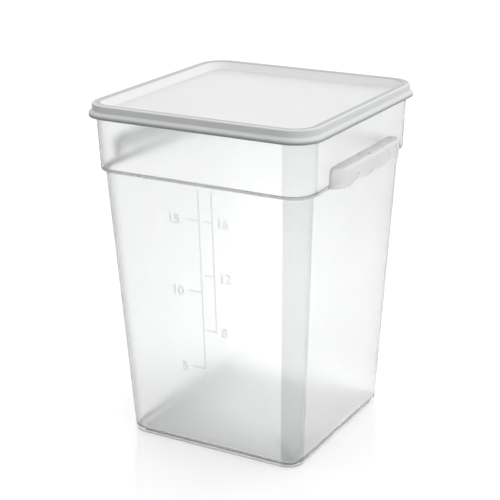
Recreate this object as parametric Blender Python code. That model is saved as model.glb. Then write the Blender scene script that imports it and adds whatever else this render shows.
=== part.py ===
# Square food storage container: a tapered tub with a stepped collar and two moulded handles,
# and a press-on lid that covers the rim. Metres, +Z up. The origin is at the centre of the foot,
# the moulded scale faces -Y and the handles face -X and +X.
import math

import bmesh
import bpy

# Tub: widths are across the flats
base_width = 0.2224
base_corner = 0.019
body_width = 0.2589
body_corner = 0.024
tub_height = 0.3977
collar_height = 0.0741
shoulder_step = 0.0047
collar_flare = 0.0023
collar_corner = 0.0275
wall = 0.0025
floor_thickness = 0.0030

# Tub: edges
foot_width = 0.010
foot_recess = 0.0012
foot_recess_slope = 0.002
foot_edge = 0.0035
floor_fillet = 0.006
shoulder_edge = 0.0020
shoulder_fillet = 0.0012
rim_bead = 0.0016
rim_bead_height = 0.0042
rim_edge = 0.0009

# Handles: one on each of the two side faces of the collar
handle_length = 0.160
handle_reach = 0.0160
handle_end = 0.022
handle_end_drop = 0.008
handle_height = 0.0240
handle_lip_rise = 0.0015
handle_wall = 0.0025
handle_edge = 0.0035
finger_pitch = 0.041
finger_depth = 0.0038
finger_count = 3

# Moulded scale on the front: marks at 5, 10 and 15 litres and at 8, 12 and 16 quarts,
# whose heights above the foot are shares of the shoulder's height
scale_line_width = 0.0012
scale_line_relief = 0.0004
scale_tick_relief_share = 0.75
scale_shoulder_gap = 0.0056
litre_line_x = 0.0010
litre_tick_length = 0.0170
litre_height_shares = (0.3214, 0.6116, 0.8739)
quart_line_x = 0.0178
quart_tick_length = 0.0125
quart_height_shares = (0.4716, 0.6771, 0.8745)

# Lid
fit_gap = 0.0003
lid_wall = 0.0020
lid_bead_edge = 0.0016
lid_skirt_gap = 0.0004
lid_plug_gap = 0.0005
lid_slope_width = 0.0085
lid_panel_drop = 0.0088
lid_panel_fillet = 0.0025
lid_flange_step = 0.0027
lid_flange_top = 0.0075
lid_flange_slope = 0.0030
lid_depth = 0.0148
lid_lip_edge = 0.0009

# How far a cut runs past the face that it opens
overrun = 0.004

# Plastic
tub_colour = (0.86, 0.88, 0.88)
tub_roughness = 0.38
lid_colour = (0.84, 0.86, 0.86)
lid_roughness = 0.42

# Mesh fineness, and the angle in degrees under which faces are shaded as one
corner_steps = 7
fillet_steps = 3
end_steps = 7
finger_steps = 8
edge_steps = 3
smooth_limit = 35

# Worked out from the sizes above
shoulder_height = tub_height - collar_height
base_half = base_width / 2
body_half = body_width / 2
collar_half = body_half + shoulder_step
rim_half = collar_half + collar_flare
base_centre = base_half - base_corner
body_centre = body_half - body_corner
collar_centre = collar_half - collar_corner
rim_centre = rim_half - collar_corner
lid_top = tub_height + fit_gap + lid_wall
# The handles start inside the collar's wall, so that they join it without showing inside
handle_root = collar_half - wall / 2


def mix(a, b, share):
    return a + (b - a) * share


def body_half_at(z):
    return mix(base_half, body_half, z / shoulder_height)


def body_centre_at(z):
    return mix(base_centre, body_centre, z / shoulder_height)


def filleted(profile):
    """Round the corners of a profile of (half width, corner centre, z, radius) points."""
    stations = []
    last = len(profile) - 1
    for index, (half, centre, z, radius) in enumerate(profile):
        if index in (0, last) or radius == 0:
            stations.append((half, centre, z))
            continue
        before, after = profile[index - 1], profile[index + 1]
        to_before = (before[0] - half, before[2] - z)
        to_after = (after[0] - half, after[2] - z)
        length_before, length_after = math.hypot(*to_before), math.hypot(*to_after)
        dot = (to_before[0] * to_after[0] + to_before[1] * to_after[1]) / (length_before * length_after)
        angle = math.acos(max(-1.0, min(1.0, dot)))
        setback = min(radius / math.tan(angle / 2), length_before / 2, length_after / 2)
        share_before, share_after = setback / length_before, setback / length_after
        start = (half + to_before[0] * share_before, z + to_before[1] * share_before)
        end = (half + to_after[0] * share_after, z + to_after[1] * share_after)
        centre_start = mix(centre, before[1], share_before)
        centre_end = mix(centre, after[1], share_after)
        # The arc is drawn as a quadratic curve, which leaves both sides along their own direction
        for step in range(fillet_steps + 1):
            t = step / fillet_steps
            x = mix(mix(start[0], half, t), mix(half, end[0], t), t)
            height = mix(mix(start[1], z, t), mix(z, end[1], t), t)
            stations.append((x, mix(centre_start, centre_end, t), height))
    return stations


def rounded_square(half, centre, z):
    """The points of a square with round corners, counter-clockwise seen from above."""
    radius = max(half - centre, wall)
    reach = half - radius
    points = []
    for corner in range(4):
        start = math.radians(90 * corner)
        turn = math.radians(90 * corner + 45)
        middle_x = math.copysign(reach, math.cos(turn))
        middle_y = math.copysign(reach, math.sin(turn))
        for step in range(corner_steps + 1):
            angle = start + math.radians(90) * step / corner_steps
            points.append((middle_x + radius * math.cos(angle), middle_y + radius * math.sin(angle), z))
    return points


def loft(name, rings, collection):
    """A closed solid through rings of points, with a face across the first and the last ring."""
    mesh = bpy.data.meshes.new(name)
    shape = bmesh.new()
    loops = [[shape.verts.new(point) for point in ring] for ring in rings]
    count = len(loops[0])
    for lower, upper in zip(loops, loops[1:]):
        for i in range(count):
            j = (i + 1) % count
            shape.faces.new((lower[i], lower[j], upper[j], upper[i]))
    shape.faces.new(loops[0][::-1])
    shape.faces.new(loops[-1])
    bmesh.ops.triangulate(shape, faces=[face for face in shape.faces if len(face.verts) > 4])
    shape.to_mesh(mesh)
    shape.free()
    piece = bpy.data.objects.new(name, mesh)
    collection.objects.link(piece)
    return piece


def plastic(name, colour, roughness):
    material = bpy.data.materials.new(name)
    material.use_nodes = True
    shader = material.node_tree.nodes["Principled BSDF"]
    shader.inputs["Base Color"].default_value = (*colour, 1.0)
    shader.inputs["Roughness"].default_value = roughness
    shader.inputs["Metallic"].default_value = 0.0
    return material


def join_shape(piece, tool, operation):
    """Add a tool to a piece, or cut it away, and keep the tool as a wire guide."""
    modifier = piece.modifiers.new(tool.name, "BOOLEAN")
    modifier.operation = operation
    modifier.solver = "EXACT"
    modifier.object = tool
    tool.hide_render = True
    tool.display_type = "WIRE"


def handle_section(y, inset, root_x, floor_z):
    """One slice of a handle across Y: its bottom, its outer face and its rounded top edge."""
    half_length = handle_length / 2 - inset
    reach = handle_reach - inset
    from_end = half_length - abs(y)
    end = min(handle_end, half_length)
    drop = min(handle_end_drop, half_length)
    plan_share = min(max(1 - from_end / end, 0.0), 1.0)
    drop_share = min(max(1 - from_end / drop, 0.0), 1.0)
    face_x = collar_half + reach * math.sqrt(1 - plan_share ** 2)
    top_z = shoulder_height + handle_height - inset - drop * (1 - math.sqrt(1 - drop_share ** 2))
    edge = min(handle_edge, (face_x - handle_root) / 2, (top_z - floor_z) / 2)
    section = [(root_x, y, floor_z), (face_x, y, floor_z)]
    for step in range(edge_steps + 1):
        angle = math.radians(90) * step / edge_steps
        x = face_x - edge + edge * math.cos(angle)
        section.append((x, y, top_z - edge + edge * math.sin(angle)))
    section.append((root_x, y, top_z))
    return section


def finger_rise(y):
    """How far the lip rises over its lowest line: one hollow for each finger pitch."""
    if abs(y) >= finger_pitch * finger_count / 2:
        return 0.0
    phase = y / finger_pitch + (finger_count - 1) / 2
    return finger_depth * (1 + math.cos(2 * math.pi * phase)) / 2


def handle_places(inset):
    """Slices along a handle: close together at its round ends and evenly over the finger hollows."""
    half_length = handle_length / 2 - inset
    end = min(handle_end, half_length)
    hollow_half = min(finger_pitch * finger_count / 2, half_length)
    hollow_steps = finger_count * finger_steps
    places = []
    for step in range(end_steps + 1):
        angle = math.radians(90) * step / end_steps
        place = half_length - end * (1 - math.sin(angle))
        places += [place, -place]
    for step in range(hollow_steps + 1):
        places.append(mix(-hollow_half, hollow_half, step / hollow_steps))
    places.sort()
    kept = places[:1]
    for place in places[1:]:
        if place - kept[-1] > half_length / (hollow_steps * finger_steps):
            kept.append(place)
    kept[-1] = half_length
    return kept


def make_handle(name, turn, collection):
    """An inverted channel that hangs from the collar, closed at both ends and open below."""
    lip_z = shoulder_height + handle_lip_rise
    slices = []
    for y in handle_places(0.0):
        slices.append(handle_section(y, 0.0, handle_root, lip_z + finger_rise(y)))
    shell = loft(name, slices[::-1], collection)
    slices = []
    for y in handle_places(handle_wall):
        slices.append(handle_section(y, handle_wall, handle_root - overrun, lip_z - overrun))
    finger_space = loft(name + "_finger_space", slices[::-1], collection)
    for piece in (shell, finger_space):
        piece.rotation_euler.z = turn
    join_shape(shell, finger_space, "DIFFERENCE")
    return shell


def scale_mark(name, x, width, low, high, relief):
    """A raised mark on the leaning front wall, half of it sunk into the wall."""
    middle_z = (low + high) / 2
    bpy.ops.mesh.primitive_cube_add(size=1)
    mark = bpy.context.object
    mark.name = name
    mark.scale = (width, relief * 2, high - low)
    bpy.context.view_layer.update()
    bpy.ops.object.transform_apply(location=False, rotation=False, scale=True)
    mark.rotation_euler.x = math.atan((body_half - base_half) / shoulder_height)
    mark.location = (x, -body_half_at(middle_z), middle_z)
    for owner in list(mark.users_collection):
        owner.objects.unlink(mark)
    cutters.objects.link(mark)
    return mark


def scale_column(name, line_x, tick_length, height_shares):
    """An upright line with its ticks. The ticks stand lower than the line, which they run into."""
    half_line = scale_line_width / 2
    tick_relief = scale_line_relief * scale_tick_relief_share
    heights = [share * shoulder_height for share in height_shares]
    line_top = shoulder_height - scale_shoulder_gap
    marks = [scale_mark(name + "_line", line_x, scale_line_width, min(heights), line_top, scale_line_relief)]
    for index, height in enumerate(heights):
        low, high = height - half_line, height + half_line
        middle_x = line_x - tick_length / 2
        tick_name = "%s_tick_%d" % (name, index)
        marks.append(scale_mark(tick_name, middle_x, tick_length, low, high, tick_relief))
    return marks


def tub_profile():
    """From the middle of the underside, out, up the outside, over the rim and down to the floor."""
    rim_low = tub_height - rim_bead_height
    inner_floor = foot_recess + floor_thickness
    ledge = shoulder_height + wall
    recess_half = base_half - foot_edge - foot_width
    return [
        (recess_half - foot_recess_slope, base_centre, foot_recess, 0),
        (recess_half, base_centre, 0, 0),
        (base_half, base_centre, 0, foot_edge),
        (body_half, body_centre, shoulder_height, shoulder_fillet),
        (collar_half, collar_centre, shoulder_height, shoulder_edge),
        (rim_half, rim_centre, rim_low - rim_bead, 0),
        (rim_half + rim_bead, rim_centre, rim_low, 0),
        (rim_half + rim_bead, rim_centre, tub_height, rim_edge),
        (rim_half - wall, rim_centre, tub_height, rim_edge),
        (collar_half - wall, collar_centre, ledge, shoulder_fillet),
        (body_half - wall, body_centre, ledge, shoulder_edge),
        (body_half_at(inner_floor) - wall, body_centre_at(inner_floor), inner_floor, floor_fillet),
        (base_half - wall - floor_fillet * 2, base_centre, inner_floor, 0),
    ]


def lid_profile():
    """From the middle of the underside, out under the rim channel, round the flange and back."""
    plug_half = rim_half - wall - lid_plug_gap
    skirt_half = rim_half + rim_bead + lid_skirt_gap
    outer_half = skirt_half + lid_wall
    flange_half = outer_half + lid_flange_step
    flange_centre = rim_centre + lid_flange_step
    crest_half = plug_half - lid_wall
    panel_half = crest_half - lid_slope_width
    panel_top = lid_top - lid_panel_drop
    panel_low = panel_top - lid_wall
    ceiling = lid_top - lid_wall
    lip = lid_top - lid_depth
    flange_high = lid_top - lid_flange_top
    flange_low = flange_high - lid_flange_slope
    slope_low = mix(ceiling, panel_low, lid_wall / lid_slope_width)
    return [
        (panel_half - lid_panel_fillet, rim_centre, panel_low, 0),
        (panel_half + lid_wall / 2, rim_centre, panel_low, lid_panel_fillet),
        (plug_half, rim_centre, slope_low, lid_lip_edge),
        (plug_half, rim_centre, ceiling, lid_lip_edge),
        (skirt_half, rim_centre, ceiling, lid_lip_edge),
        (skirt_half, rim_centre, flange_high - lid_wall / 2, lid_lip_edge),
        (flange_half - lid_wall, flange_centre, flange_low - lid_wall / 2, lid_lip_edge),
        (flange_half - lid_wall, flange_centre, lip, lid_lip_edge),
        (flange_half, flange_centre, lip, lid_lip_edge),
        (flange_half, flange_centre, flange_low, lid_lip_edge),
        (outer_half, rim_centre, flange_high, lid_lip_edge),
        (outer_half, rim_centre, lid_top, lid_bead_edge),
        (crest_half, rim_centre, lid_top, lid_bead_edge),
        (panel_half, rim_centre, panel_top, lid_panel_fillet),
        (panel_half - lid_panel_fillet * 2, rim_centre, panel_top, 0),
    ]


def make_tub():
    tub = loft("tub", [rounded_square(*station) for station in filleted(tub_profile())], parts)
    for name, turn in (("handle_right", 0.0), ("handle_left", math.pi)):
        join_shape(tub, make_handle(name, turn, cutters), "UNION")
    marks = scale_column("litre", litre_line_x, litre_tick_length, litre_height_shares)
    marks += scale_column("quart", quart_line_x, quart_tick_length, quart_height_shares)
    for mark in marks:
        join_shape(tub, mark, "UNION")
    tub.data.materials.append(plastic("tub_plastic", tub_colour, tub_roughness))
    return tub


def make_lid():
    lid = loft("lid", [rounded_square(*station) for station in filleted(lid_profile())], parts)
    lid.data.materials.append(plastic("lid_plastic", lid_colour, lid_roughness))
    return lid


for old in list(bpy.data.objects):
    bpy.data.objects.remove(old, do_unlink=True)
parts = bpy.data.collections.new("food_storage_container")
cutters = bpy.data.collections.new("cutters")
bpy.context.scene.collection.children.link(parts)
bpy.context.scene.collection.children.link(cutters)

for moulding in (make_tub(), make_lid()):
    moulding.data.set_sharp_from_angle(angle=math.radians(smooth_limit))
    moulding.data.shade_smooth()
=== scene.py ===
import math

import bmesh
import bpy
import numpy as np
from mathutils import Matrix


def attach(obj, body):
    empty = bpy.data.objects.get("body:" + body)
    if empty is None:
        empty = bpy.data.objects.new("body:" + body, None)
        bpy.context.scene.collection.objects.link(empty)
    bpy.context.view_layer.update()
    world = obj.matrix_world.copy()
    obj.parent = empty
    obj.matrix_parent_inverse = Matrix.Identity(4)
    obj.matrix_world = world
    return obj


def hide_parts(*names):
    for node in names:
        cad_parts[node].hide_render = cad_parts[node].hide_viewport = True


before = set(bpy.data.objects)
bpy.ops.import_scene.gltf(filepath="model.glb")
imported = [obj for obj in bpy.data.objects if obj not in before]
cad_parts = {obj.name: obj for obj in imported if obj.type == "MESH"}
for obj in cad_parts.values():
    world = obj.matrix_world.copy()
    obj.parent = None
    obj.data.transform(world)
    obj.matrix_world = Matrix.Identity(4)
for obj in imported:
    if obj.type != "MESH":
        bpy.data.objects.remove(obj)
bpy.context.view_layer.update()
scene = bpy.context.scene
print("frame loaded:", ", ".join(sorted(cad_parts)))


# Camera
cameraSettings = {
    "lens": 101.57,          # mm
    "sensorWidth": 36,       # mm
    "clip": (0.05, 60),      # metres
    "azimuth": 29.8,         # degrees, from the front towards the right-hand handle
    "elevation": 19.19,
    "roll": -0.61,
    "distance": 1.6555,
    "sideStep": -0.0073,
    "aimHeight": 0.2104,
}


def unitVector(vector):
    return vector / np.linalg.norm(vector)


def placeCamera(settings):
    # The camera stands back along one direction and is rolled about it. Its axes are the columns of its turn
    azimuth, elevation, roll = (math.radians(settings[key]) for key in ("azimuth", "elevation", "roll"))
    level = math.cos(elevation)
    back = np.array([math.sin(azimuth) * level, -math.cos(azimuth) * level, math.sin(elevation)])
    right = np.array([math.cos(azimuth), math.sin(azimuth), 0.0])
    up = unitVector(np.cross(back, right))
    rolledRight = math.cos(roll) * right + math.sin(roll) * up
    rolledUp = -math.sin(roll) * right + math.cos(roll) * up
    place = back * settings["distance"] + right * settings["sideStep"] + np.array([0, 0, settings["aimHeight"]])
    data = bpy.data.cameras.new("photoCamera")
    data.lens = settings["lens"]
    data.sensor_width = settings["sensorWidth"]
    data.clip_start, data.clip_end = settings["clip"]
    camera = bpy.data.objects.new("photoCamera", data)
    scene.collection.objects.link(camera)
    turn = np.eye(4)
    turn[:3, 0], turn[:3, 1], turn[:3, 2], turn[:3, 3] = rolledRight, rolledUp, back, place
    camera.matrix_world = Matrix(turn.tolist())
    scene.camera = camera


placeCamera(cameraSettings)
print("camera placed")


# Node helpers
def addNode(tree, kind, **values):
    # Keyword values are node settings, and the ones that aren't are sockets by name
    node = tree.nodes.new(kind)
    for name, value in values.items():
        if hasattr(node, name):
            setattr(node, name, value)
        else:
            node.inputs[name.replace("_", " ")].default_value = value
    return node


def join(tree, source, output, target, entry):
    tree.links.new(source.outputs[output], target.inputs[entry])


# Studio: a pale glossy floor under a dome that is bright at the back right and dim at the front left.
# Where the camera sees them straight, both are plain white
studioSettings = {
    "brightWay": (0.60, 0.50, 0.75),     # towards the bright side of the dome
    "domeDim": 0.36, "domeBright": 1.25, "domeFrom": -0.3, "domeTo": 0.30,
    "backdrop": 1.3,
    "floorColour": (0.65, 0.65, 0.65, 1), "floorDimColour": (0.25, 0.25, 0.25, 1),
    # Light through the plastic sees the floor lit from below: most in a long pool behind the tub, and more
    # in a small round one under it
    "glowCentre": (-0.118, 0.347, 0), "glowTurn": 29.8, "glowStretch": 2.4,
    "glowPool": 0.95, "glowFar": 0.50, "glowTo": 0.42,
    "underCentre": (0.03, 0.06, 0), "underGlow": 0.34, "underFrom": 0.06, "underTo": 0.17,
    "glowSeen": 0.39,                    # its even glow where it's seen straight
    "floorRoughness": 0.10,
    # For scattered light, the floor goes from bright behind to dim in front, over this far either side of the
    # middle
    "floorReach": 0.4,
    "floorSize": 30.0,
}


def facing(tree, source, output, way):
    # How far a direction or place lies towards a way, as a dot product
    dot = addNode(tree, "ShaderNodeVectorMath", operation="DOT_PRODUCT")
    dot.inputs[1].default_value = way
    join(tree, source, output, dot, 0)
    return dot


def rampOf(tree, source, output, low, high, start, end):
    # Goes smoothly from the start value at low to the end value at high
    ramp = addNode(tree, "ShaderNodeMapRange", interpolation_type="SMOOTHSTEP")
    for name, value in (("From Min", low), ("From Max", high), ("To Min", start), ("To Max", end)):
        ramp.inputs[name].default_value = value
    join(tree, source, output, ramp, "Value")
    return ramp


def mixShaders(tree, source, output, first, second):
    choose = addNode(tree, "ShaderNodeMixShader")
    join(tree, source, output, choose, "Fac")
    tree.links.new(first.outputs[0], choose.inputs[1])
    tree.links.new(second.outputs[0], choose.inputs[2])
    return choose


def makeWorld(settings):
    world = bpy.data.worlds.new("whiteStudio")
    scene.world = world
    world.use_nodes = True
    tree = world.node_tree
    tree.nodes.clear()
    place = addNode(tree, "ShaderNodeTexCoord")
    way = facing(tree, place, "Generated", unitVector(np.array(settings["brightWay"])))
    strength = rampOf(tree, way, "Value", settings["domeFrom"], settings["domeTo"],
                      settings["domeDim"], settings["domeBright"])
    dome = addNode(tree, "ShaderNodeBackground")
    join(tree, strength, "Result", dome, "Strength")
    white = addNode(tree, "ShaderNodeBackground", Strength=settings["backdrop"])
    for shader in (dome, white):
        shader.inputs["Color"].default_value = (1, 1, 1, 1)
    ray = addNode(tree, "ShaderNodeLightPath")
    choose = mixShaders(tree, ray, "Is Camera Ray", dome, white)
    output = addNode(tree, "ShaderNodeOutputWorld")
    tree.links.new(choose.outputs[0], output.inputs["Surface"])


def makeFloor(settings):
    half = settings["floorSize"] / 2
    mesh = bpy.data.meshes.new("studioFloor")
    corners = [(-half, -half, 0), (half, -half, 0), (half, half, 0), (-half, half, 0)]
    mesh.from_pydata(corners, [], [(0, 1, 2, 3)])
    floor = bpy.data.objects.new("studioFloor", mesh)
    scene.collection.objects.link(floor)
    material = bpy.data.materials.new("paleFloor")
    material.use_nodes = True
    tree = material.node_tree
    pale = tree.nodes["Principled BSDF"]
    dim = addNode(tree, "ShaderNodeBsdfPrincipled")
    for shader, colour in ((pale, "floorColour"), (dim, "floorDimColour")):
        shader.inputs["Base Color"].default_value = settings[colour]
        shader.inputs["Roughness"].default_value = settings["floorRoughness"]
    place = addNode(tree, "ShaderNodeTexCoord")
    way = np.array(settings["brightWay"]) * np.array([1, 1, 0])
    along = facing(tree, place, "Object", unitVector(way))
    reach = settings["floorReach"]
    front = rampOf(tree, along, "Value", -reach, reach, 1.0, 0.0)
    pooled = addNode(tree, "ShaderNodeMapping", vector_type="TEXTURE", Location=settings["glowCentre"],
                     Rotation=(0, 0, math.radians(settings["glowTurn"])), Scale=(1, settings["glowStretch"], 1))
    join(tree, place, "Object", pooled, "Vector")
    distance = addNode(tree, "ShaderNodeVectorMath", operation="LENGTH")
    join(tree, pooled, "Vector", distance, 0)
    pool = rampOf(tree, distance, "Value", 0.0, settings["glowTo"], settings["glowPool"], settings["glowFar"])
    fromUnder = addNode(tree, "ShaderNodeVectorMath", operation="DISTANCE")
    fromUnder.inputs[1].default_value = settings["underCentre"]
    join(tree, place, "Object", fromUnder, 0)
    under = rampOf(tree, fromUnder, "Value", settings["underFrom"], settings["underTo"],
                   settings["underGlow"], 0.0)
    lit = addNode(tree, "ShaderNodeMath", operation="ADD")
    join(tree, pool, "Result", lit, 0)
    join(tree, under, "Result", lit, 1)
    # Only scattered light sees the dim part
    ray = addNode(tree, "ShaderNodeLightPath")
    share = addNode(tree, "ShaderNodeMath", operation="MULTIPLY")
    join(tree, ray, "Is Diffuse Ray", share, 0)
    join(tree, front, "Result", share, 1)
    choose = mixShaders(tree, share, 0, pale, dim)
    # The glow is the pools' for light through the plastic and an even one for the camera
    through = addNode(tree, "ShaderNodeMath", operation="MULTIPLY")
    join(tree, ray, "Is Transmission Ray", through, 0)
    join(tree, lit, 0, through, 1)
    glow = addNode(tree, "ShaderNodeMath", operation="MULTIPLY_ADD")
    glow.inputs[1].default_value = settings["glowSeen"]
    join(tree, ray, "Is Camera Ray", glow, 0)
    join(tree, through, 0, glow, 2)
    pale.inputs["Emission Color"].default_value = (1, 1, 1, 1)
    join(tree, glow, 0, pale, "Emission Strength")
    tree.links.new(choose.outputs[0], tree.nodes["Material Output"].inputs["Surface"])
    mesh.materials.append(material)


makeWorld(studioSettings)
makeFloor(studioSettings)
scene.view_settings.view_transform = "Standard"
scene.view_settings.look = "None"
print("studio ready")


# Surface patterns shared by the plastics
grainSettings = {
    "scale": 900.0, "detail": 3.0,           # fine noise, which makes the height
    "coarseScale": 22.0, "coarseDetail": 3.0, "spread": 0.05,    # slow noise, which makes the roughness uneven
    "roughness": 0.25, "bumpDistance": 0.00004,
}
cloudSettings = {
    "scale": 9.0, "detail": 4.0, "roughness": 0.55,
    "clear": (0.98, 0.98, 0.98, 1), "milky": (0.96, 0.96, 0.96, 1), "dense": (0.7, 0.7, 0.7, 1),
}


def groupTree(name, inputs, outputs):
    # A new node group with its sockets: each input is (name, kind, value) and each output (name, kind)
    tree = bpy.data.node_groups.new(name, "ShaderNodeTree")
    for label, kind, value in inputs:
        socket = tree.interface.new_socket(label, in_out="INPUT", socket_type="NodeSocket" + kind)
        socket.default_value = value
    for label, kind in outputs:
        tree.interface.new_socket(label, in_out="OUTPUT", socket_type="NodeSocket" + kind)
    return tree, tree.nodes.new("NodeGroupInput"), tree.nodes.new("NodeGroupOutput")


def mixColours(tree, source, output, first, second):
    # The colour sockets of a Mix node go by number, since it has sockets of the same names for other kinds
    mixed = addNode(tree, "ShaderNodeMix", data_type="RGBA")
    join(tree, source, output, mixed, "Factor")
    tree.links.new(first, mixed.inputs[6])
    tree.links.new(second, mixed.inputs[7])
    return mixed.outputs[2]


def makeSatinGrain(s):
    # Fine satin grain of the mould: two sizes of noise make a height and a roughness
    tree, entry, leave = groupTree(
        "satinGrain",
        [("Grain Scale", "Float", s["scale"]), ("Roughness", "Float", s["roughness"]),
         ("Roughness Spread", "Float", s["spread"])],
        [("Height", "Float"), ("Roughness", "Float")],
    )
    place = addNode(tree, "ShaderNodeTexCoord")
    fine = addNode(tree, "ShaderNodeTexNoise", Detail=s["detail"])
    coarse = addNode(tree, "ShaderNodeTexNoise", Scale=s["coarseScale"], Detail=s["coarseDetail"])
    join(tree, place, "Object", fine, "Vector")
    join(tree, place, "Object", coarse, "Vector")
    join(tree, entry, "Grain Scale", fine, "Scale")
    centred = addNode(tree, "ShaderNodeMath", operation="SUBTRACT")
    centred.inputs[1].default_value = 0.5
    join(tree, coarse, "Fac", centred, 0)
    spread = addNode(tree, "ShaderNodeMath", operation="MULTIPLY")
    join(tree, centred, 0, spread, 0)
    join(tree, entry, "Roughness Spread", spread, 1)
    total = addNode(tree, "ShaderNodeMath", operation="ADD")
    join(tree, spread, 0, total, 0)
    join(tree, entry, "Roughness", total, 1)
    join(tree, fine, "Fac", leave, "Height")
    join(tree, total, 0, leave, "Roughness")
    return tree


def makeMilkClouds(s):
    # Undyed plastic is slightly uneven: a slow cloud mixes a clear tone and a milky one, and the places whose
    # density and painted shade is above nothing go over to a denser, darker tone, which paints the shade
    tree, entry, leave = groupTree(
        "milkClouds",
        [("Clear", "Color", s["clear"]), ("Milky", "Color", s["milky"]), ("Dense", "Color", s["dense"]),
         ("Density", "Float", 0.0), ("Cloud Scale", "Float", s["scale"])],
        [("Color", "Color")],
    )
    place = addNode(tree, "ShaderNodeTexCoord")
    cloud = addNode(tree, "ShaderNodeTexNoise", Detail=s["detail"], Roughness=s["roughness"])
    join(tree, place, "Object", cloud, "Vector")
    join(tree, entry, "Cloud Scale", cloud, "Scale")
    blend = mixColours(tree, cloud, "Fac", entry.outputs["Clear"], entry.outputs["Milky"])
    thick = mixColours(tree, entry, "Density", blend, entry.outputs["Dense"])
    tree.links.new(thick, leave.inputs["Color"])
    return tree


satinGrain = makeSatinGrain(grainSettings)
milkClouds = makeMilkClouds(cloudSettings)


def frostedPlastic(name, s):
    # Its tone comes from the clouds and the piece's own density and painted shade, and its gloss and bump from
    # the grain
    material = bpy.data.materials.new(name)
    material.use_nodes = True
    tree = material.node_tree
    shader = tree.nodes["Principled BSDF"]
    shader.inputs["Transmission Weight"].default_value = s["transmission"]
    shader.inputs["IOR"].default_value = s["ior"]
    densityAndShade = addNode(tree, "ShaderNodeAttribute", attribute_name="plasticDensityAndShade")
    clouds = addNode(tree, "ShaderNodeGroup", node_tree=milkClouds)
    for label in ("clear", "milky", "dense"):
        clouds.inputs[label.capitalize()].default_value = s[label]
    join(tree, densityAndShade, "Fac", clouds, "Density")
    join(tree, clouds, "Color", shader, "Base Color")
    satin = addNode(tree, "ShaderNodeGroup", node_tree=satinGrain)
    satin.inputs["Roughness"].default_value = s["roughness"]
    join(tree, satin, "Roughness", shader, "Roughness")
    bump = addNode(tree, "ShaderNodeBump", Strength=s["grain"], Distance=grainSettings["bumpDistance"])
    join(tree, satin, "Height", bump, "Height")
    join(tree, bump, "Normal", shader, "Normal")
    return material


# The dense tone of each plastic is the dark one that its painted shade goes over to
plasticSettings = {
    "clearPlastic": {
        "clear": (0.95, 0.953, 0.953, 1), "milky": (0.93, 0.935, 0.935, 1), "dense": (0.40, 0.42, 0.42, 1),
        "roughness": 0.22, "transmission": 0.96, "grain": 0.08, "ior": 1.49},
    "thickPlastic": {
        "clear": (0.97, 0.975, 0.975, 1), "milky": (0.95, 0.955, 0.955, 1), "dense": (0.35, 0.37, 0.37, 1),
        "roughness": 0.28, "transmission": 0.55, "grain": 0.08, "ior": 1.49},
    "bottomPlastic": {
        "clear": (0.98, 0.983, 0.983, 1), "milky": (0.965, 0.97, 0.97, 1), "dense": (0.35, 0.37, 0.37, 1),
        "roughness": 0.30, "transmission": 0.94, "grain": 0.08, "ior": 1.49},
    # The foot ring's darker, duller plastic paints the contact shade at the base
    "footShadePlastic": {
        "clear": (0.88, 0.885, 0.885, 1), "milky": (0.85, 0.855, 0.855, 1), "dense": (0.35, 0.37, 0.37, 1),
        "roughness": 0.45, "transmission": 0.56, "grain": 0.08, "ior": 1.49},
    "gripPlastic": {
        "clear": (0.995, 0.996, 0.996, 1), "milky": (0.99, 0.992, 0.992, 1), "dense": (0.35, 0.37, 0.37, 1),
        "roughness": 0.28, "transmission": 0.60, "grain": 0.08, "ior": 1.28},
    "lidPlastic": {
        "clear": (0.935, 0.94, 0.94, 1), "milky": (0.915, 0.92, 0.92, 1), "dense": (0.40, 0.42, 0.42, 1),
        "roughness": 0.32, "transmission": 0.45, "grain": 0.15, "ior": 1.49},
    "lidRimPlastic": {
        "clear": (0.94, 0.945, 0.945, 1), "milky": (0.92, 0.925, 0.925, 1), "dense": (0.35, 0.37, 0.37, 1),
        "roughness": 0.30, "transmission": 0.20, "grain": 0.15, "ior": 1.49},
    "markPlastic": {
        "clear": (0.975, 0.98, 0.98, 1), "milky": (0.96, 0.965, 0.965, 1), "dense": (0.70, 0.72, 0.72, 1),
        "roughness": 0.25, "transmission": 0.95, "grain": 0.08, "ior": 1.49},
}
clearPlastic, thickPlastic, bottomPlastic, footShadePlastic, gripPlastic, lidPlastic, lidRimPlastic, markPlastic = (
    frostedPlastic(name, s) for name, s in plasticSettings.items())
print("plastics mixed")


# Surfaces on grids
def loftFaces(rows, columns):
    # The faces of a grid whose rows are closed rings: each cell joins its own point with the next point of its
    # row and of the next row, and one more face fills the first ring and one the last
    row, column = np.meshgrid(np.arange(rows - 1), np.arange(columns), indexing="ij")
    here, above = row * columns, (row + 1) * columns
    nextColumn = (column + 1) % columns
    quads = np.stack([here + column, here + nextColumn, above + nextColumn, above + column], axis=-1)
    first = list(range(columns))[::-1]
    last = list(range((rows - 1) * columns, rows * columns))
    return quads.reshape(-1, 4).tolist() + [first, last]


def buildPiece(name, points, faces, materials, body, densityAndShade=0.0, slots=None):
    # slots says which of the materials each face takes
    mesh = bpy.data.meshes.new(name)
    points = np.asarray(points).reshape(-1, 3)
    mesh.from_pydata(points.tolist(), [], faces)
    mesh.polygons.foreach_set("use_smooth", np.full(len(mesh.polygons), True))
    attribute = mesh.attributes.new("plasticDensityAndShade", "FLOAT", "POINT")
    values = np.broadcast_to(np.ravel(densityAndShade), len(points)).astype(np.float32)
    attribute.data.foreach_set("value", values)
    for material in materials:
        mesh.materials.append(material)
    if slots is not None:
        mesh.polygons.foreach_set("material_index", np.asarray(slots, dtype=np.int32))
    mesh.update()
    piece = bpy.data.objects.new(name, mesh)
    scene.collection.objects.link(piece)
    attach(piece, body)
    return piece


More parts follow.
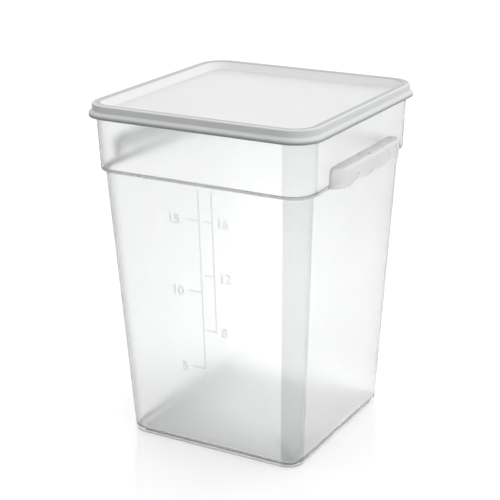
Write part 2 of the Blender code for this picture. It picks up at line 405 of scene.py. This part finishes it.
def supported(length, nearEnds, spacing, endRoom=2.2):
    # Places along a span: a few close to both ends, which keep its middle flat under smooth shading, then even
    # ones. The close ones are nearer to their end than the length divided by the end room
    near = [place for place in nearEnds if place < length / endRoom]
    inner = near[-1] if near else 0.0
    count = max(1, int(round((length - 2 * inner) / spacing)))
    even = np.linspace(inner, length - inner, count + 1)
    places = np.concatenate([[0.0], near, even, length - np.array(near[::-1]), [length]])
    return np.unique(places.round(7))[:-1]


def filletedProfile(profile, steps, nearEnds=(0.0005, 0.0016, 0.005), spacing=0.016,
                    mostSetback=0.49, shortest=1e-6):
    # Rounds each corner of a (half width, corner centre, height, radius) profile with a quadratic curve
    # that leaves both sides along their own direction, then adds places along the straight spans
    profile = np.array(profile, float)
    knots = [profile[0, :3]]
    flat = []
    for before, point, after in zip(profile, profile[1:], profile[2:]):
        if point[3] == 0:
            knots.append(point[:3])
            flat.append(True)
            continue
        toBefore, toAfter = before[:3] - point[:3], after[:3] - point[:3]
        lengthBefore, lengthAfter = math.hypot(toBefore[0], toBefore[2]), math.hypot(toAfter[0], toAfter[2])
        cosine = (toBefore[0] * toAfter[0] + toBefore[2] * toAfter[2]) / (lengthBefore * lengthAfter)
        angle = math.acos(max(-1.0, min(1.0, cosine)))
        setback = min(point[3] / math.tan(angle / 2), lengthBefore * mostSetback, lengthAfter * mostSetback)
        start = point[:3] + toBefore * setback / lengthBefore
        end = point[:3] + toAfter * setback / lengthAfter
        share = np.linspace(0, 1, steps + 1)[:, None]
        curve = (1 - share) ** 2 * start + 2 * share * (1 - share) * point[:3] + share ** 2 * end
        flat.append(True)
        flat += [False] * steps
        knots += list(curve)
    knots.append(profile[-1, :3])
    flat.append(True)
    stations = []
    for start, end, straight in zip(knots, knots[1:], flat):
        length = math.hypot(end[0] - start[0], end[2] - start[2])
        if not straight or length < shortest:
            stations.append([start])
            continue
        shares = supported(length, nearEnds, spacing) / length
        stations.append(start + (end - start) * shares[:, None])
    stations.append([knots[-1]])
    return np.concatenate([np.asarray(part).reshape(-1, 3) for part in stations])


def squareStations(cornerSteps, sideShares):
    # A round-cornered square, going anticlockwise: each station is where it stands on the square of the
    # corner centres (-1 to 1 both ways) and the direction in which the corner radius is added
    centreSigns, directions = [], []
    for corner in range(4):
        start = math.radians(90 * corner)
        angles = start + np.linspace(0, math.pi / 2, cornerSteps + 1)
        diagonal = start + math.pi / 4
        sign = np.array([math.copysign(1, math.cos(diagonal)), math.copysign(1, math.sin(diagonal))])
        centreSigns.append(np.repeat(sign[None], cornerSteps + 1, axis=0))
        directions.append(np.column_stack([np.cos(angles), np.sin(angles)]))
        along = np.array([-math.cos(start), -math.sin(start)]).round(9)
        centreSigns.append(sign + along * 2 * sideShares[:, None])
        directions.append(np.repeat(directions[-1][-1:], len(sideShares), axis=0))
    return np.concatenate(centreSigns), np.concatenate(directions)


def squareLoft(profile, stations, leastRadius=0.0002):
    # Carries the profile round the square: centre times the station's place, plus radius times its direction
    centreSigns, directions = stations
    radius = np.maximum(profile[:, 0] - profile[:, 1], leastRadius)
    reach = profile[:, 0] - radius
    plan = reach[:, None, None] * centreSigns[None] + radius[:, None, None] * directions[None]
    heights = np.broadcast_to(profile[:, 2][:, None, None], plan.shape[:2] + (1,))
    return np.concatenate([plan, heights], axis=2)


def closedToMiddle(half, centre, z, rings, inward=True):
    # Rings that shrink to the middle of a flat panel, so that its shading stays flat and it has no open pole
    shares = np.linspace(1, 0, rings + 1)[1:-1]
    block = np.column_stack([half * shares, centre * shares, np.full(len(shares), z)])
    return block if inward else block[::-1]


def bump01(value, low, high, soft):
    # Rises from 0 to 1 over the soft distance at low, and falls back to 0 over it at high
    return np.clip((value - low) / soft + 0.5, 0, 1) * np.clip((high - value) / soft + 0.5, 0, 1)


# The square that the tub and the lid are carried round, denser in places towards its corners
cornerSteps = 14
sideShares = np.array([0.004, 0.015, 0.04, 0.1, 0.18, 0.26, 0.34, 0.42, 0.5,
                       0.58, 0.66, 0.74, 0.82, 0.9, 0.96, 0.985, 0.996])
squarePath = squareStations(cornerSteps, sideShares)


# Tub
tubSettings = {
    "baseWidth": 0.2224, "baseCorner": 0.019,
    "bodyWidth": 0.2589, "bodyCorner": 0.024,
    "height": 0.3977, "collarHeight": 0.0741,
    "shoulderStep": 0.0047, "collarFlare": 0.0023, "collarCorner": 0.0275,
    "wall": 0.0025, "floor": 0.0030,
    "footWidth": 0.010, "footRecess": 0.0012, "footSlope": 0.002, "footEdge": 0.0035,
    "floorFillet": 0.006, "shoulderEdge": 0.002, "shoulderFillet": 0.0012,
    "rimBead": 0.0016, "rimBeadHeight": 0.0042, "rimEdge": 0.0009, "softEdge": 0.0005,
    "filletSteps": 5, "panelRings": 9,
    "panelCorner": 0.004,    # least corner radius of the underside's and the inner floor's outermost ring
}
shoulderHeight = tubSettings["height"] - tubSettings["collarHeight"]
baseHalf, bodyHalf = tubSettings["baseWidth"] / 2, tubSettings["bodyWidth"] / 2
collarHalf = bodyHalf + tubSettings["shoulderStep"]
rimHalf = collarHalf + tubSettings["collarFlare"]
baseCentre, bodyCentre = baseHalf - tubSettings["baseCorner"], bodyHalf - tubSettings["bodyCorner"]
collarCentre, rimCentre = collarHalf - tubSettings["collarCorner"], rimHalf - tubSettings["collarCorner"]


def bodyHalfAt(z):
    return baseHalf + (bodyHalf - baseHalf) * z / shoulderHeight


def bodyCentreAt(z):
    return baseCentre + (bodyCentre - baseCentre) * z / shoulderHeight


def tubProfile(s):
    # From the middle of the underside, out, up the outside, over the rim and down to the inner floor
    rimLow = s["height"] - s["rimBeadHeight"]
    innerFloor = s["footRecess"] + s["floor"]
    ledge = shoulderHeight + s["wall"]
    recess = baseHalf - s["footEdge"] - s["footWidth"]
    beadHalf = rimHalf + s["rimBead"]
    outline = [
        (recess - s["footSlope"] * 3, baseCentre - s["footSlope"] * 2, s["footRecess"], 0),
        (recess - s["footSlope"], baseCentre - s["footSlope"], s["footRecess"], s["softEdge"]),
        (recess, baseCentre, 0, s["softEdge"]),
        (baseHalf, baseCentre, 0, s["footEdge"]),
        (bodyHalf, bodyCentre, shoulderHeight, s["shoulderFillet"]),
        (collarHalf, collarCentre, shoulderHeight, s["shoulderEdge"]),
        (rimHalf, rimCentre, rimLow - s["rimBead"], s["softEdge"]),
        (beadHalf, rimCentre, rimLow, s["softEdge"]),
        (beadHalf, rimCentre, s["height"], s["rimEdge"]),
        (rimHalf - s["wall"], rimCentre, s["height"], s["rimEdge"]),
        (collarHalf - s["wall"], collarCentre, ledge, s["shoulderFillet"]),
        (bodyHalf - s["wall"], bodyCentre, ledge, s["shoulderEdge"]),
        (bodyHalfAt(innerFloor) - s["wall"], bodyCentreAt(innerFloor), innerFloor, s["floorFillet"]),
        (baseHalf - s["wall"] - s["floorFillet"] * 2, baseCentre, innerFloor, 0),
    ]
    rows = filletedProfile(outline, s["filletSteps"])
    underside, floor = (
        closedToMiddle(row[0], min(row[1], row[0] - s["panelCorner"]), z, s["panelRings"], inward)
        for row, z, inward in ((rows[0], s["footRecess"], False), (rows[-1], innerFloor, True)))
    return np.concatenate([underside, rows, floor])


# Where the tub's plastic takes its darker dense tone, mostly as painted shade: on the round corners, much the
# most on the near one, along the rim and the shoulder step, and as a contact shadow round the foot. Each band
# has its start, its end and the distance over which it fades
tubDensityAndShadeSettings = {
    "nearCornerShade": 0.44, "otherCornersShade": 0.09,
    "collarShare": 0.67,     # how much of the corners' painted shade the collar takes
    "body": 0.03, "rim": 0.45, "shoulder": 0.2, "foot": 0.02,
    "bodyBand": (0.001, shoulderHeight - 0.001, 0.004),
    "collarBand": (shoulderHeight + 0.002, tubSettings["height"] - 0.005, 0.004),
    "rimBand": (tubSettings["height"] - 0.0060, 1.0, 0.001),
    "shoulderBand": (shoulderHeight - 0.001, shoulderHeight + 0.0035, 0.001),
    "footShadeBand": (0.0030, 0.0110, 0.004),
    "footShadeReach": (baseHalf - 0.010, 1.0, 0.002),
}


def cornerShare(stations, near, others):
    # 0 along the straight sides of the square, one value on the round corner between the front and the right
    # side, and another on the other three
    centreSigns = stations[0]
    corner = np.isclose(np.abs(centreSigns).min(axis=1), 1).astype(float)
    return corner * np.where((centreSigns[:, 0] > 0) & (centreSigns[:, 1] < 0), near, others)


def tubDensityAndShade(rows, stations, s):
    # Painted shade on the body's and the collar's corners, at the rim, along the shoulder and, as a contact
    # shadow, a little round the foot; a faint even density on the body
    half, z = rows[:, 0], rows[:, 2]
    corner = cornerShare(stations, s["nearCornerShade"], s["otherCornersShade"])
    body, collar, rim, shoulder, foot = (
        bump01(z, *s[band]) for band in ("bodyBand", "collarBand", "rimBand", "shoulderBand", "footShadeBand"))
    foot = foot * bump01(half, *s["footShadeReach"])
    along = corner[None] * (body + s["collarShare"] * collar)[:, None]
    around = s["body"] * body + s["rim"] * rim + s["shoulder"] * shoulder + s["foot"] * foot
    return np.clip(along + around[:, None], 0, 1)


# Where the tub's plastics meet, and the places of the plastics in its list of materials
tubZones = {
    "rimDepth": 0.0062, "shoulderBelow": 0.0012, "shoulderAbove": 0.0036,
    "bottomHeight": 0.0046, "bottomInset": 0.001, "footHeight": 0.0028, "footInset": 0.0165,
}
clearSlot, thickSlot, bottomSlot, footShadeSlot = range(4)


def tubSlots(rows, stations, s):
    # Thick plastic on the rim and the shoulder, a milky one on the bottom, a darker, duller one on the whole
    # foot ring, which paints the contact shade at the base, and clear plastic elsewhere
    half, z = rows[:, 0], rows[:, 2]
    middleZ, middleHalf = (z[1:] + z[:-1]) / 2, (half[1:] + half[:-1]) / 2
    rim = middleZ > tubSettings["height"] - s["rimDepth"]
    shoulder = (middleZ > shoulderHeight - s["shoulderBelow"]) & (middleZ < shoulderHeight + s["shoulderAbove"])
    bottom = (middleZ < s["bottomHeight"]) & (middleHalf < baseHalf - s["bottomInset"])
    foot = (middleZ < s["footHeight"]) & (middleHalf > baseHalf - s["footInset"])
    slots = np.select([foot, rim | shoulder, bottom], [footShadeSlot, thickSlot, bottomSlot], clearSlot)
    return np.concatenate([np.repeat(slots, len(stations[0])), [bottomSlot, bottomSlot]])


tubRows = tubProfile(tubSettings)
tubPoints = squareLoft(tubRows, squarePath)
tubShell = buildPiece("tub_shell", tubPoints, loftFaces(*tubPoints.shape[:2]),
                      (clearPlastic, thickPlastic, bottomPlastic, footShadePlastic), "tub_body",
                      tubDensityAndShade(tubRows, squarePath, tubDensityAndShadeSettings),
                      tubSlots(tubRows, squarePath, tubZones))
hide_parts("tub")
print("tub:", tubPoints.shape)


# Handles: inverted channels with finger hollows along the lip
handleSettings = {
    "length": 0.160, "reach": 0.0160, "endLength": 0.022, "endDrop": 0.008, "height": 0.024,
    "lipRise": 0.0015, "wall": 0.0025, "edge": 0.0035, "lipEdge": 0.0007,
    "fingerPitch": 0.041, "fingerDepth": 0.0038, "fingerCount": 3,
    "innerEdgeLoss": 0.4,    # walls by which the inner edge's radius is smaller
    "lipRoom": 2.2,          # the lip's edges stay below the wall divided by this
    "endSteps": 12, "middleSteps": 72, "edgeSteps": 6, "lipSteps": 3,
    "topShares": (0.0, 0.5, 0.85), "faceShares": (0.08, 0.5, 0.92), "ceilingShares": (0.5, 1.0),
    "densityAndShade": 0.0, "mergeDistance": 0.00002, "crease": 40,
}
handleRoot = collarHalf - tubSettings["wall"] / 2


def fingerRise(y, s):
    # One raised cosine for each finger pitch, and nothing beyond the last one
    phase = y / s["fingerPitch"] + (s["fingerCount"] - 1) / 2
    wave = s["fingerDepth"] * (1 + np.cos(2 * np.pi * phase)) / 2
    return np.where(np.abs(y) < s["fingerPitch"] * s["fingerCount"] / 2, wave, 0.0)


def handleSlices(s, inset):
    # Places along the handle, the face's reach in plan, with elliptic ends, and the height of the top, with a
    # round drop at the ends
    half = s["length"] / 2 - inset
    angles = np.linspace(0, math.pi / 2, s["endSteps"] + 1)
    ends = half - s["endLength"] * (1 - np.sin(angles[::-1]))
    middle = np.linspace(-ends[-1], ends[-1], s["middleSteps"] + 1)
    y = np.concatenate([-ends, middle[1:-1], ends[::-1]])
    fromEnd = half - np.abs(y)
    planShare = np.clip(1 - fromEnd / s["endLength"], 0, 1)
    dropShare = np.clip(1 - fromEnd / s["endDrop"], 0, 1)
    faceX = collarHalf + (s["reach"] - inset) * np.sqrt(1 - planShare ** 2)
    topZ = shoulderHeight + s["height"] - inset - s["endDrop"] * (1 - np.sqrt(1 - dropShare ** 2))
    return y, faceX, topZ


def handleSurface(s):
    # Each slice goes out over the top, round the edge, down the face, under the lip, up inside and back to the
    # root, with quarter circles for its edges
    y, faceX, topZ = handleSlices(s, 0.0)
    innerY, innerX, ceiling = handleSlices(s, s["wall"])
    lipZ = shoulderHeight + s["lipRise"] + fingerRise(y, s)
    edge = np.minimum(s["edge"], (faceX - handleRoot) / 2)
    innerEdge = np.minimum(s["edge"] - s["wall"] * s["innerEdgeLoss"], (innerX - handleRoot) / 2)
    arc = np.linspace(0, math.pi / 2, s["edgeSteps"] + 1)
    lip = np.minimum(s["lipEdge"], (faceX - innerX) / s["lipRoom"])
    columns = []

    def put(x, where, z):
        columns.append(np.column_stack([x, where, z]))

    for share in s["topShares"]:
        put(handleRoot + (faceX - edge - handleRoot) * share, y, topZ)
    for angle in arc[::-1]:
        put(faceX - edge + edge * math.cos(angle), y, topZ - edge + edge * math.sin(angle))
    for share in s["faceShares"]:
        put(faceX, y, topZ - edge + (lipZ + lip - topZ + edge) * share)
    for angle in np.linspace(0, math.pi / 2, s["lipSteps"] + 1):
        put(faceX - lip + lip * math.cos(angle), y, lipZ + lip - lip * math.sin(angle))
    innerLip = shoulderHeight + s["lipRise"] + fingerRise(innerY, s)
    for angle in np.linspace(math.pi / 2, 0, s["lipSteps"] + 1):
        put(innerX + lip - lip * math.cos(angle), innerY, innerLip + lip - lip * math.sin(angle))
    for share in s["faceShares"]:
        put(innerX, innerY, innerLip + lip + (ceiling - innerEdge - innerLip - lip) * share)
    for angle in arc:
        x = innerX - innerEdge + innerEdge * math.cos(angle)
        put(x, innerY, ceiling - innerEdge + innerEdge * math.sin(angle))
    for share in s["ceilingShares"]:
        put(innerX - innerEdge + (handleRoot - innerX + innerEdge) * share, innerY, ceiling)
    return np.stack(columns, axis=1)


def makeHandle(name, s, turned):
    # The left one is the right one turned half round about the tub's axis
    points = handleSurface(s)
    if turned:
        points = points * np.array([-1.0, -1.0, 1.0])
    faces = loftFaces(*points.shape[:2])
    return buildPiece(name, points, faces, (gripPlastic,), "tub_body", s["densityAndShade"])


def clearParts(mesh, material, densityAndShade):
    # The union mixes up the density and painted shade on the parts, so each point that only their own faces use
    # gets it anew
    cornerPoints = np.zeros(len(mesh.loops), dtype=np.int32)
    cornerCounts, slots = (np.zeros(len(mesh.polygons), dtype=np.int32) for _ in range(2))
    values = np.zeros(len(mesh.vertices), dtype=np.float32)
    mesh.loops.foreach_get("vertex_index", cornerPoints)
    mesh.polygons.foreach_get("loop_total", cornerCounts)
    mesh.polygons.foreach_get("material_index", slots)
    mesh.attributes["plasticDensityAndShade"].data.foreach_get("value", values)
    shellFaces = slots != mesh.materials.find(material.name)
    partPoints = np.full(len(values), True)
    partPoints[cornerPoints[np.repeat(shellFaces, cornerCounts)]] = False
    values[partPoints] = densityAndShade
    mesh.attributes["plasticDensityAndShade"].data.foreach_set("value", values)


def mouldTogether(shell, parts, partMaterial, s):
    # One closed surface from the shell and its parts, whose buried faces go. Edges sharper than the crease
    # angle stay creased
    for part in parts:
        union = shell.modifiers.new("with_" + part.name, "BOOLEAN")
        union.operation, union.solver, union.object = "UNION", "EXACT", part
        union.material_mode = "TRANSFER"
    bpy.context.view_layer.update()
    mesh = bpy.data.meshes.new_from_object(shell.evaluated_get(bpy.context.evaluated_depsgraph_get()))
    shell.modifiers.clear()
    # Slivers that the union leaves along its seams go
    cleaned = bmesh.new()
    cleaned.from_mesh(mesh)
    bmesh.ops.remove_doubles(cleaned, verts=cleaned.verts, dist=s["mergeDistance"])
    bmesh.ops.dissolve_degenerate(cleaned, edges=cleaned.edges, dist=s["mergeDistance"])
    cleaned.to_mesh(mesh)
    cleaned.free()
    shell.data = mesh
    mesh.name = shell.name
    clearParts(mesh, partMaterial, s["densityAndShade"])
    mesh.set_sharp_from_angle(angle=math.radians(s["crease"]))
    for part in parts:
        bpy.data.objects.remove(part)
    print("moulded together:", len(mesh.vertices), "points, materials", [m.name for m in mesh.materials])


handles = [makeHandle("handle_right", handleSettings, turned=False),
           makeHandle("handle_left", handleSettings, turned=True)]
mouldTogether(tubShell, handles, gripPlastic, handleSettings)
print("handles made")


# Scale: raised lines, ticks and plain numbers on the leaning front wall
scaleSettings = {
    "lineWidth": 0.0018, "relief": 0.00008, "sunk": 0.0002, "crease": 40, "topGap": 0.0056,
    "sectionSteps": 8, "pathSteps": 2,
    # lineX is where the upright line stands at its top and at its lowest tick
    "columns": [
        {"lineX": (0.0011, -0.0012), "tick": 0.0170, "heights": (0.1040, 0.1979, 0.2828),
         "numbers": ("5", "10", "15"), "numberX": -0.0240, "numberRise": -0.0025, "align": "RIGHT"},
        {"lineX": (0.0178, 0.0160), "tick": 0.0125, "heights": (0.1526, 0.2191, 0.2830),
         "numbers": ("8", "12", "16"), "numberX": 0.0225, "numberRise": 0.0, "align": "LEFT"},
    ],
    "numberSize": 0.0158, "numberDepth": 0.00035, "numberWeight": 0.00012,
    "numberBevel": 0.00008, "numberBevelSteps": 1,
}
# The leaning wall's own upward and outward directions
wallLean = math.atan((bodyHalf - baseHalf) / shoulderHeight)
wallUp = np.array([0, -math.sin(wallLean), math.cos(wallLean)])
wallOut = np.array([0, -math.cos(wallLean), -math.sin(wallLean)])


def ridge(x0, z0, x1, z1, s):
    # A low rounded bar from one point of the wall to another: a half-ellipse section on a straight path, whose
    # base is sunk into the wall
    start = np.array([x0, -bodyHalfAt(z0), z0])
    end = np.array([x1, -bodyHalfAt(z1), z1])
    across = np.cross(wallOut, unitVector(end - start))
    angles = np.linspace(0, math.pi, s["sectionSteps"] + 1)[:, None]
    dome = np.cos(angles) * across * s["lineWidth"] / 2 + np.sin(angles) * wallOut * s["relief"]
    side, sunk = across * s["lineWidth"] / 2, wallOut * s["sunk"]
    section = np.concatenate([dome, [-side - sunk, side - sunk]])
    places = start + (end - start) * np.linspace(0, 1, s["pathSteps"] + 1)[:, None]
    return places[:, None, :] + section[None]


def makeScale(s):
    # Each column is an upright line and its ticks, which run from the line to the left
    points, faces, used = [], [], 0
    for column in s["columns"]:
        top, low = shoulderHeight - s["topGap"], min(column["heights"])
        bars = [(column["lineX"][1], low, column["lineX"][0], top)]
        for z in column["heights"]:
            x = np.interp(z, (low, top), column["lineX"][::-1])
            bars.append((x - column["tick"], z, x, z))
        for bar in bars:
            grid = ridge(*bar, s)
            faces += [[corner + used for corner in face] for face in loftFaces(*grid.shape[:2])]
            points.append(grid.reshape(-1, 3))
            used += len(points[-1])
    lines = buildPiece("scale_lines", np.concatenate(points), faces, (markPlastic,), "tub_body")
    lines.data.set_sharp_from_angle(angle=math.radians(s["crease"]))


def makeNumber(text, x, z, align, s):
    name = "scale_number_" + text
    curve = bpy.data.curves.new(name, "FONT")
    curve.body = text
    curve.size = s["numberSize"]
    curve.align_x, curve.align_y = align, "CENTER"
    curve.extrude = s["numberDepth"] / 2
    curve.offset = s["numberWeight"]
    curve.bevel_depth = s["numberBevel"]
    curve.bevel_resolution = s["numberBevelSteps"]
    draft = bpy.data.objects.new("draft", curve)
    scene.collection.objects.link(draft)
    bpy.context.view_layer.update()
    mesh = bpy.data.meshes.new_from_object(draft.evaluated_get(bpy.context.evaluated_depsgraph_get()))
    bpy.data.objects.remove(draft)
    points = np.zeros(len(mesh.vertices) * 3)
    mesh.vertices.foreach_get("co", points)
    points = points.reshape(-1, 3)
    # The text's own right, up and outward directions become those of the leaning wall
    placed = points[:, :1] * np.array([1.0, 0, 0]) + points[:, 1:2] * wallUp + points[:, 2:3] * wallOut
    placed = placed + np.array([x, -bodyHalfAt(z), z])
    mesh.vertices.foreach_set("co", placed.ravel())
    mesh.name = name
    mesh.materials.clear()
    mesh.materials.append(markPlastic)
    mesh.update()
    piece = bpy.data.objects.new(name, mesh)
    scene.collection.objects.link(piece)
    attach(piece, "tub_body")


makeScale(scaleSettings)
for column in scaleSettings["columns"]:
    for text, z in zip(column["numbers"], column["heights"]):
        makeNumber(text, column["numberX"], z + column["numberRise"], column["align"], scaleSettings)
print("scale made")


# Lid
lidSettings = {
    "fitGap": 0.0003, "wall": 0.0020, "beadEdge": 0.0016, "skirtGap": 0.0004, "plugGap": 0.0005,
    "slopeWidth": 0.0085, "panelDrop": 0.0088, "panelFillet": 0.0025,
    "flangeStep": 0.0027, "flangeTop": 0.0075, "flangeSlope": 0.0030, "depth": 0.0148, "softEdge": 0.0006,
    "filletSteps": 5, "panelRings": 12,
    "panelPinch": 0.002,     # by which the corner centres of the panel's outermost ring lie further in
}
lidTop = tubSettings["height"] + lidSettings["fitGap"] + lidSettings["wall"]
lidLow = lidTop - lidSettings["depth"]


def lidProfile(s):
    # From the middle of the underside, out under the rim channel, round the flange, over the bead and back to
    # the middle
    plug = rimHalf - tubSettings["wall"] - s["plugGap"]
    skirt = rimHalf + tubSettings["rimBead"] + s["skirtGap"]
    outer = skirt + s["wall"]
    flange = outer + s["flangeStep"]
    crest = plug - s["wall"]
    panel = crest - s["slopeWidth"]
    panelTop = lidTop - s["panelDrop"]
    panelLow = panelTop - s["wall"]
    ceiling = lidTop - s["wall"]
    flangeHigh = lidTop - s["flangeTop"]
    flangeLow = flangeHigh - s["flangeSlope"]
    slopeLow = ceiling + (panelLow - ceiling) * s["wall"] / s["slopeWidth"]
    soft, centre, wide = s["softEdge"], rimCentre, rimCentre + s["flangeStep"]
    outline = [
        (panel - s["panelFillet"] * 2, centre - s["panelPinch"], panelLow, 0),
        (panel + s["wall"] / 2, centre, panelLow, s["panelFillet"]),
        (plug, centre, slopeLow, soft),
        (plug, centre, ceiling, soft),
        (skirt, centre, ceiling, soft),
        (skirt, centre, flangeHigh - s["wall"] / 2, soft),
        (flange - s["wall"], wide, flangeLow - s["wall"] / 2, soft),
        (flange - s["wall"], wide, lidLow, soft),
        (flange, wide, lidLow, soft),
        (flange, wide, flangeLow, soft),
        (outer, centre, flangeHigh, soft),
        (outer, centre, lidTop, s["beadEdge"]),
        (crest, centre, lidTop, s["beadEdge"]),
        (panel, centre, panelTop, s["panelFillet"]),
        (panel - s["panelFillet"] * 2, centre - s["panelPinch"], panelTop, 0),
    ]
    rows = filletedProfile(outline, s["filletSteps"])
    underside = closedToMiddle(rows[0, 0], rows[0, 1], panelLow, s["panelRings"], inward=False)
    overside = closedToMiddle(rows[-1, 0], rows[-1, 1], panelTop, s["panelRings"])
    return np.concatenate([underside, rows, overside])


# Where the lid's plastic takes its darker dense tone, which paints shade, with bands as the tub's
lidDensityAndShadeSettings = {
    "skirt": 0.19, "bead": 0.84, "lip": 0.90,
    "skirtBand": (rimHalf + 0.0012, 1.0, 0.0012),
    "beadBand": (rimHalf - 0.0055, rimHalf + 0.0012, 0.0012),
    "lipShadowBand": (-1.0, lidLow + 0.0016, 0.0006),
}


def lidDensityAndShade(rows, stations, s):
    # Painted shade: a little on the skirt and the flange, much on the bead, and a dark shadow line along the
    # flange's lower edge
    half, z = rows[:, 0], rows[:, 2]
    skirt, bead = (bump01(half, *s[band]) for band in ("skirtBand", "beadBand"))
    lip = bump01(z, *s["lipShadowBand"])
    densityAndShade = s["skirt"] * skirt + s["bead"] * bead + s["lip"] * lip
    return np.broadcast_to(densityAndShade[:, None], (len(half), len(stations[0])))


def lidSlots(rows, stations):
    # The rim's own plastic from the slope outwards, and the panel's inside it and on the two closing faces
    middleHalf = (rows[1:, 0] + rows[:-1, 0]) / 2
    rim = middleHalf > rimHalf - tubSettings["wall"] - lidSettings["slopeWidth"] - lidSettings["wall"]
    slots = np.broadcast_to(rim.astype(int)[:, None], (len(rows) - 1, len(stations[0])))
    return np.concatenate([slots.ravel(), [0, 0]])


lidRows = lidProfile(lidSettings)
lidPoints = squareLoft(lidRows, squarePath)
lidShell = buildPiece("lid_shell", lidPoints, loftFaces(*lidPoints.shape[:2]), (lidPlastic, lidRimPlastic),
                      "lid_body", lidDensityAndShade(lidRows, squarePath, lidDensityAndShadeSettings),
                      lidSlots(lidRows, squarePath))
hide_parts("lid")
print("lid:", lidPoints.shape)
